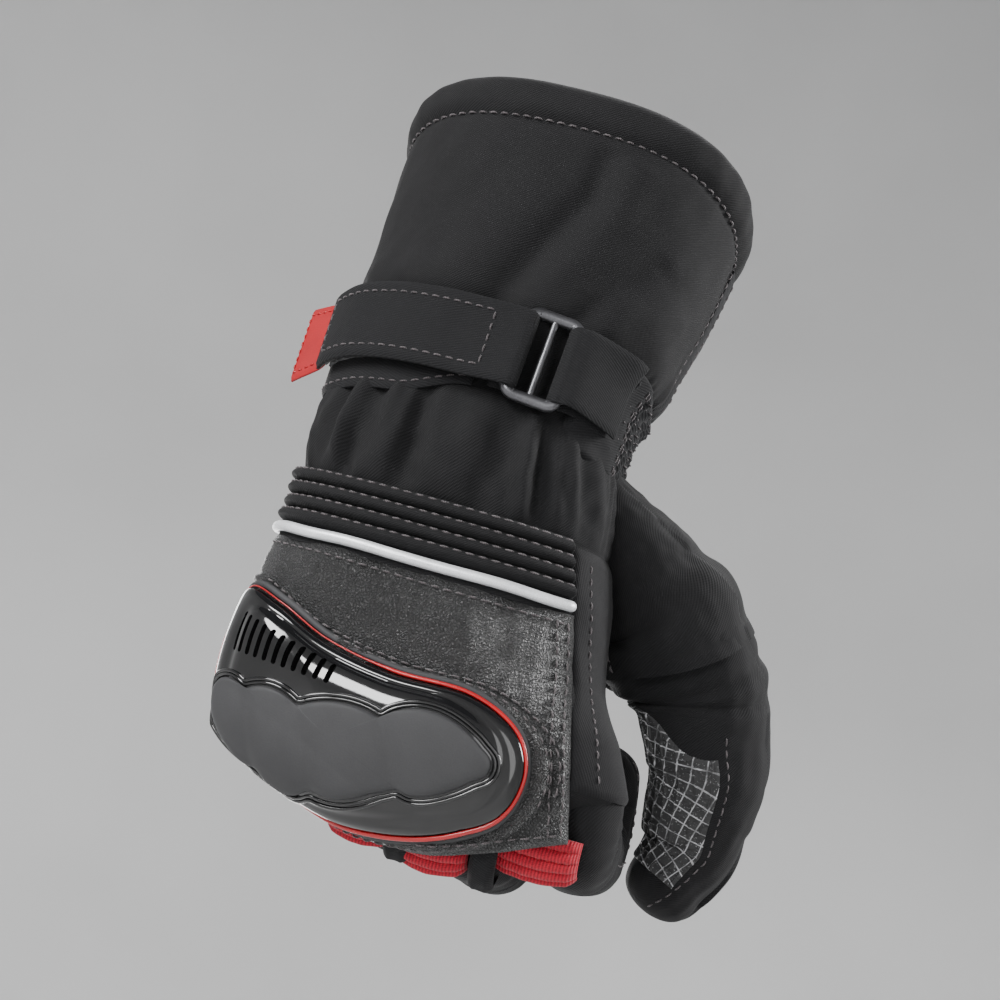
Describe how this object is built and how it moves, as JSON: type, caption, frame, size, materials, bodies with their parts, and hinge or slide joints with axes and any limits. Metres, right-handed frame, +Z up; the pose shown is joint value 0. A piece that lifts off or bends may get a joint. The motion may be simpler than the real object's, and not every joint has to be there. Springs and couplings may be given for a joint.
{
  "type": "ski glove",
  "caption": "Padded right-hand gauntlet glove in a loose fist, with a hard knuckle guard, ribbed back panel, reflective piping and a buckled wrist strap.",
  "frame": {"origin": "centre of the gauntlet mouth, where the hand goes in", "axes": "+Z up the forearm out of the mouth, -Y out of the back of the hand, +X towards the thumb"},
  "size_m": [0.1525, 0.1128, 0.2085],
  "materials": {
    "softshell": "matte twill softshell",
    "lining": "brushed fleece",
    "elastic": "gathered elastic",
    "webbing": "twill strap",
    "loop_pile": "soft loop pile",
    "hook_pile": "moulded hooks",
    "gunmetal": "satin gunmetal",
    "red_rubber": "smooth red",
    "red_knit": "ribbed stretch knit",
    "reflective": "silver reflective",
    "leather": "grained black leather",
    "foam": "closed-cell foam",
    "gloss_black": "polished black shell",
    "matte_grey": "soft-touch charcoal",
    "silicone": "printed silicone"
  },
  "bodies": {
    "gauntlet": {"gauntlet_shell": "softshell", "gauntlet_lining": "lining", "hem_binding": "softshell", "palm_side_panel": "softshell", "wrist_elastic": "elastic", "strap_standing_part": "webbing", "loop_patch": "loop_pile", "anchor_tab": "softshell", "anchor_loop": "webbing"},
    "hand": {"hand_shell": "softshell", "hand_lining": "lining", "wrist_sleeve": "lining", "wrist_back_panel": "softshell", "accordion_panel": "softshell", "reflective_piping": "reflective", "leather_back_panel": "leather", "guard_foam": "foam", "knuckle_guard": "gloss_black", "guard_rim": "red_rubber", "knuckle_insert": "matte_grey", "palm_patch": "leather", "heel_pad": "leather", "side_gusset": "softshell", "fourchette_index_middle": "leather", "fourchette_middle_ring": "leather", "fourchette_ring_little": "leather"},
    "buckle": {"buckle": "gunmetal"},
    "strap_end": {"strap_free_end": "webbing", "hook_patch": "hook_pile"},
    "pull_tab": {"pull_tab": "red_rubber"},
    "thumb_base": {"thumb_base": "softshell"},
    "thumb_tip": {"thumb_tip": "softshell", "thumb_grip_patch": "silicone"},
    "index_base": {"index_finger_base": "softshell", "index_stretch_panel": "red_knit"},
    "index_tip": {"index_finger_tip": "softshell", "index_grip_patch": "silicone"},
    "middle_base": {"middle_finger_base": "softshell", "middle_stretch_panel": "red_knit"},
    "middle_tip": {"middle_finger_tip": "softshell", "middle_grip_patch": "silicone"},
    "ring_base": {"ring_finger_base": "softshell", "ring_stretch_panel": "red_knit"},
    "ring_tip": {"ring_finger_tip": "softshell", "ring_grip_patch": "silicone"},
    "little_base": {"little_finger_base": "softshell", "little_stretch_panel": "red_knit"},
    "little_tip": {"little_finger_tip": "softshell", "little_grip_patch": "silicone"}
  },
  "joints": [
    {"name": "wrist_flex", "type": "hinge", "parent": "gauntlet", "child": "hand", "pos_m": [0, 0, -0.095], "axis": [1, 0, 0], "range_deg": [-20, 8]},
    {"name": "index_knuckle_flex", "type": "hinge", "parent": "hand", "child": "index_base", "pos_m": [0.055, 0.01338, -0.17979], "axis": [-1, 0, 0], "range_deg": [0, 55]},
    {"name": "index_middle_flex", "type": "hinge", "parent": "index_base", "child": "index_tip", "pos_m": [0.055, 0.04738, -0.17979], "axis": [-1, 0, 0], "range_deg": [0, 85]},
    {"name": "middle_knuckle_flex", "type": "hinge", "parent": "hand", "child": "middle_base", "pos_m": [0.0315, 0.01307, -0.18564], "axis": [-1, 0, 0], "range_deg": [0, 55]},
    {"name": "middle_middle_flex", "type": "hinge", "parent": "middle_base", "child": "middle_tip", "pos_m": [0.0315, 0.05007, -0.18564], "axis": [-1, 0, 0], "range_deg": [0, 85]},
    {"name": "ring_knuckle_flex", "type": "hinge", "parent": "hand", "child": "ring_base", "pos_m": [0.0082, 0.01249, -0.18373], "axis": [-1, 0, 0], "range_deg": [0, 55]},
    {"name": "ring_middle_flex", "type": "hinge", "parent": "ring_base", "child": "ring_tip", "pos_m": [0.0082, 0.04749, -0.18373], "axis": [-1, 0, 0], "range_deg": [0, 85]},
    {"name": "little_knuckle_flex", "type": "hinge", "parent": "hand", "child": "little_base", "pos_m": [-0.0146, 0.011, -0.17372], "axis": [-1, 0, 0], "range_deg": [0, 55]},
    {"name": "little_middle_flex", "type": "hinge", "parent": "little_base", "child": "little_tip", "pos_m": [-0.0146, 0.041, -0.17372], "axis": [-1, 0, 0], "range_deg": [0, 85]},
    {"name": "thumb_root_swing", "type": "hinge", "parent": "hand", "child": "thumb_base", "pos_m": [0.0608, 0.02027, -0.10658], "axis": [0, -0.9563, -0.2924], "range_deg": [0, 35]},
    {"name": "thumb_bend_flex", "type": "hinge", "parent": "thumb_base", "child": "thumb_tip", "pos_m": [0.074, 0.03473, -0.12307], "axis": [0, -0.9563, -0.2924], "range_deg": [0, 30]},
    {"name": "buckle_lift", "type": "hinge", "parent": "gauntlet", "child": "buckle", "pos_m": [0.02102, -0.03252, -0.07106], "axis": [0, 0, 1], "range_deg": [0, 18]},
    {"name": "strap_peel", "type": "hinge", "parent": "buckle", "child": "strap_end", "pos_m": [0.00627, -0.03576, -0.07106], "axis": [0, 0, 1], "range_deg": [0, 70]},
    {"name": "pull_tab_lift", "type": "hinge", "parent": "strap_end", "child": "pull_tab", "pos_m": [-0.04927, -0.01574, -0.07167], "axis": [0, 0, 1], "range_deg": [0, 60]}
  ]
}
